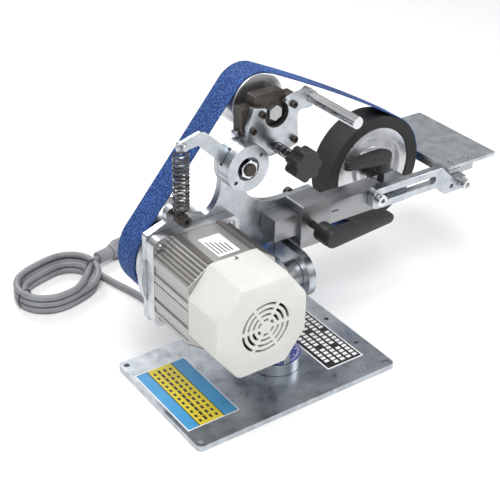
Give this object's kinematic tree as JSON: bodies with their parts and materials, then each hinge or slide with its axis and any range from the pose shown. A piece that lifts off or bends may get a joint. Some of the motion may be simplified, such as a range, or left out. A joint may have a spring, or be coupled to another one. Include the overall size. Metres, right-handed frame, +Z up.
{
  "type": "belt grinder",
  "caption": "Small bench belt grinder with motor, drive pulley, sprung tracking wheel, rubber contact wheel, sliding tool arm and tilting work table, on a swivelling and tilting stand.",
  "frame": {"origin": "centre of the base plate's underside", "axes": "+X along the tool arm towards the contact wheel, +Y along the motor shaft towards the belt, +Z up"},
  "size_m": [0.3965, 0.3147, 0.2466],
  "materials": {
    "zinc_plate": "zinc-plated, satin, slightly blue",
    "black_oxide": "black oxide",
    "aluminium": "turned, satin",
    "motor_grey": "extruded, satin",
    "cover_plastic": "matte",
    "black_plastic": "matte",
    "rubber": "matte",
    "abrasive": "coarse grit",
    "chrome": "bright",
    "steel": "satin",
    "scale_blue": "satin print",
    "copper": "wound",
    "cord_grey": "satin PVC"
  },
  "bodies": {
    "base": {"base_plate": "zinc_plate", "cord_drop": "cord_grey", "cord_run": "cord_grey", "cord_hank": "cord_grey", "cord_sleeve": "cord_grey", "cord_plug": "cord_grey"},
    "swivel": {"swivel_bolt": "steel", "swivel_flange": "zinc_plate", "angle_scale": "scale_blue", "swivel_lock_screw": "black_oxide", "upright_bracket": "zinc_plate", "tilt_spacer": "steel", "tilt_bolt": "black_oxide", "tilt_nut": "steel"},
    "frame": {"tilt_plate": "zinc_plate", "frame_plate": "zinc_plate", "clamp_block": "aluminium", "motor_flange": "aluminium", "motor_housing": "motor_grey", "fan_cover": "cover_plastic", "motor_end_shield": "aluminium", "motor_stator": "copper", "motor_bearing": "steel", "sanding_belt": "abrasive", "tension_bolt": "black_oxide", "tension_nut": "chrome", "tension_spring": "steel", "spring_anchor": "black_oxide", "cable_gland": "black_plastic"},
    "motor_spin": {"motor_shaft": "steel", "motor_rotor": "steel", "cooling_fan": "black_plastic", "drive_pulley": "aluminium", "pulley_nut": "steel"},
    "tension_arm": {"tension_hub": "zinc_plate", "tension_arm_plate": "zinc_plate", "spring_lever": "zinc_plate", "handle_rod": "chrome", "handle_nut": "black_oxide", "hinge_lug_left": "black_oxide", "hinge_lug_right": "black_oxide", "hinge_pin": "chrome", "knob_spring": "steel"},
    "yoke": {"tracking_yoke": "black_oxide", "tracking_axle": "steel"},
    "tracking_roller": {"tracking_wheel": "aluminium"},
    "knob": {"tracking_knob": "black_plastic"},
    "tool_arm": {"tool_bar": "aluminium", "wheel_arm": "zinc_plate", "contact_axle": "black_oxide", "rest_clamp_screw": "chrome"},
    "contact_wheel": {"contact_hub": "aluminium", "contact_tyre": "rubber", "contact_bearing": "steel"},
    "clamp_handle": {"clamp_lever": "black_plastic"},
    "bar_handle": {"bar_lever": "black_plastic"},
    "work_rest": {"slotted_arm": "zinc_plate", "table_pivot_screw": "chrome"},
    "table_set": {"table_bracket": "steel", "work_table": "zinc_plate"}
  },
  "joints": [
    {"name": "stand_swivel", "type": "hinge", "parent": "base", "child": "swivel", "pos_m": [0.0142, -0.005, 0], "axis": [0, 0, 1], "range_deg": [-90, 90], "deforming": ["cord_drop"]},
    {"name": "stand_tilt", "type": "hinge", "parent": "swivel", "child": "frame", "pos_m": [0.031, -0.005, 0.0865], "axis": [1, 0, 0], "range_deg": [0, 90]},
    {"name": "motor_spin", "type": "hinge", "parent": "frame", "child": "motor_spin", "pos_m": [-0.0515, 0, 0.1072], "axis": [0, 1, 0], "continuous": true},
    {"name": "tension_pivot", "type": "hinge", "parent": "frame", "child": "tension_arm", "pos_m": [-0.0115, 0.02, 0.19], "axis": [0, 1, 0], "range_deg": [0, 8], "stiffness_Nm_per_rad": 12, "springref_deg": -8.59, "deforming": ["tension_spring"]},
    {"name": "tracking_knob_turn", "type": "hinge", "parent": "tension_arm", "child": "knob", "pos_m": [0.0233, 0, 0.1947], "axis": [0, 1, 0], "range_deg": [0, 180]},
    {"name": "yoke_tilt", "type": "hinge", "parent": "tension_arm", "child": "yoke", "pos_m": [0.02, 0.0295, 0.208], "axis": [1, 0, 0], "range_deg": [-2, 0]},
    {"name": "tracking_spin", "type": "hinge", "parent": "yoke", "child": "tracking_roller", "pos_m": [0.024, 0.05, 0.2214], "axis": [0, 1, 0], "continuous": true},
    {"name": "tool_arm_slide", "type": "slide", "parent": "frame", "child": "tool_arm", "axis": [1, 0, 0], "range_m": [-0.0022, 0]},
    {"name": "contact_spin", "type": "hinge", "parent": "tool_arm", "child": "contact_wheel", "pos_m": [0.1525, 0.05, 0.1268], "axis": [0, 1, 0], "continuous": true},
    {"name": "clamp_lever_turn", "type": "hinge", "parent": "frame", "child": "clamp_handle", "pos_m": [0.0508, 0, 0.1245], "axis": [0, 1, 0], "range_deg": [-60, 60]},
    {"name": "bar_lever_turn", "type": "hinge", "parent": "tool_arm", "child": "bar_handle", "pos_m": [0.132, 0.012, 0.15], "axis": [0, 0, 1], "range_deg": [-10, 60]},
    {"name": "rest_swing", "type": "hinge", "parent": "tool_arm", "child": "work_rest", "pos_m": [0.1185, 0, 0.1295], "axis": [0, 1, 0], "range_deg": [0, 45]},
    {"name": "table_tilt", "type": "hinge", "parent": "work_rest", "child": "table_set", "pos_m": [0.215, 0, 0.1185], "axis": [0, 1, 0], "range_deg": [0, 35]}
  ],
  "couplings": [
    {"joint": "tracking_spin", "follows": "motor_spin", "ratio": 1.5656},
    {"joint": "contact_spin", "follows": "motor_spin", "ratio": 0.761},
    {"joint": "yoke_tilt", "follows": "tracking_knob_turn", "ratio": -0.0111}
  ]
}
